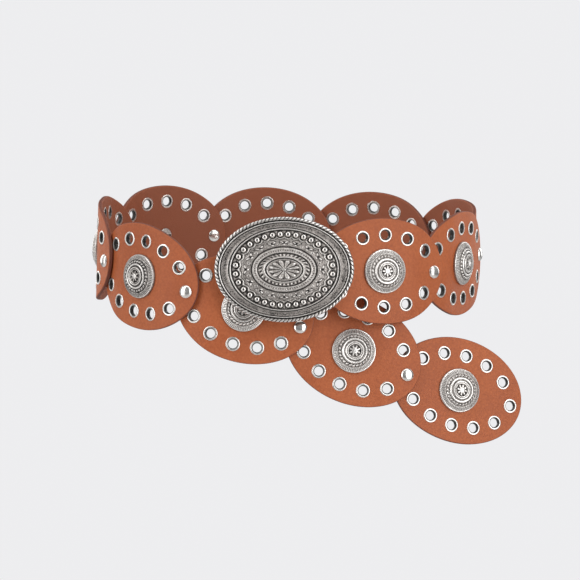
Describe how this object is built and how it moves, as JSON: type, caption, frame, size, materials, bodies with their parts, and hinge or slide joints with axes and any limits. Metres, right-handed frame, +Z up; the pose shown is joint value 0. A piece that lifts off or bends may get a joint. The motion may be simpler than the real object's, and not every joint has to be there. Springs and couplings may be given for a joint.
{
  "type": "faux leather disc belt",
  "caption": "Belt of overlapping oval faux leather discs with round silver conchos, eyelets and domed rivets, fastened round a waist by a cast oval buckle, its free end hanging.",
  "frame": {"origin": "the middle of the waist that the belt goes round, level with the buckle's middle to within 3 mm", "axes": "+Z up along the waist, -Y out of the front where the buckle is, +X towards the side where the free end hangs"},
  "size_m": [0.2824, 0.2057, 0.1614],
  "materials": {
    "faux_leather": "smooth matt tan faux leather with a darker cut edge",
    "antique_silver": "antique silver casting, bright on the raised relief and dark in the recesses",
    "polished_silver": "polished nickel on the domed rivets and the eyelets"
  },
  "bodies": {
    "root": {"disc_01": "faux_leather", "concho_01": "antique_silver", "disc_02": "faux_leather", "concho_02": "antique_silver", "disc_03": "faux_leather", "concho_03": "antique_silver", "disc_04": "faux_leather", "concho_04": "antique_silver", "disc_05": "faux_leather", "concho_05": "antique_silver", "disc_06": "faux_leather", "concho_06": "antique_silver", "disc_07": "faux_leather", "concho_07": "antique_silver", "disc_08": "faux_leather", "concho_08": "antique_silver", "disc_09": "faux_leather", "concho_09": "antique_silver", "disc_10": "faux_leather", "concho_10": "antique_silver", "disc_11": "faux_leather", "concho_11": "antique_silver", "link_rivet_01": "polished_silver", "link_rivet_02": "polished_silver", "link_rivet_03": "polished_silver", "link_rivet_04": "polished_silver", "link_rivet_05": "polished_silver", "link_rivet_06": "polished_silver", "link_rivet_07": "polished_silver", "link_rivet_08": "polished_silver", "link_rivet_09": "polished_silver", "link_rivet_10": "polished_silver", "buckle": "antique_silver", "buckle_rivet": "polished_silver"}
  },
  "joints": []
}
